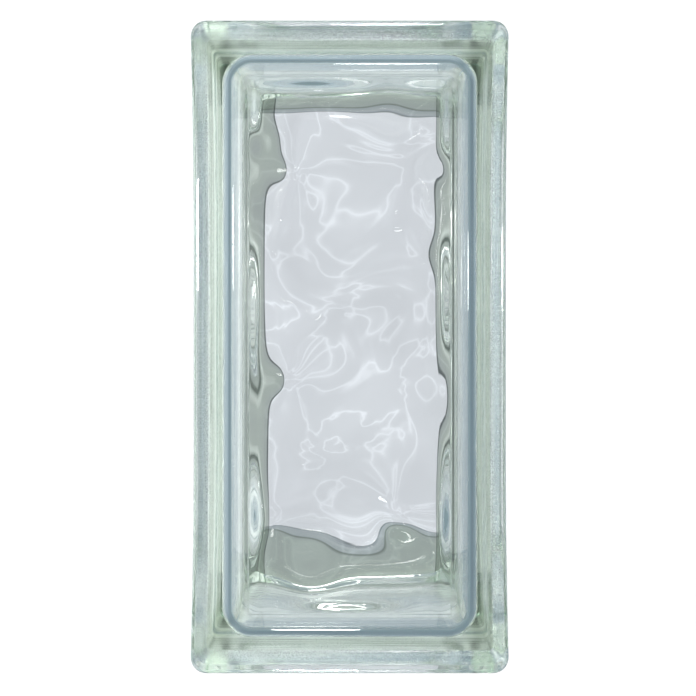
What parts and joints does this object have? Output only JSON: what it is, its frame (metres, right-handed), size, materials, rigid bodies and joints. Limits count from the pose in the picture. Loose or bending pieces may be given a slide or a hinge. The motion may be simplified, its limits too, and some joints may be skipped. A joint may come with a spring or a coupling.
{
  "type": "glass block",
  "caption": "Hollow glass building block with wavy clear panes, a sealed hollow and a mortar key channel round its sides.",
  "frame": {"origin": "middle of the back face, on which the block lies", "axes": "+Z through the thickness, from the back face to the front face; +Y along the length; +X across the width"},
  "size_m": [0.096, 0.1968, 0.0794],
  "materials": {
    "clear_glass": "fire-polished clear pressed glass with a faint green tint, wavy on the inner sides of the panes"
  },
  "bodies": {
    "root": {"glass_block": "clear_glass"}
  },
  "joints": []
}
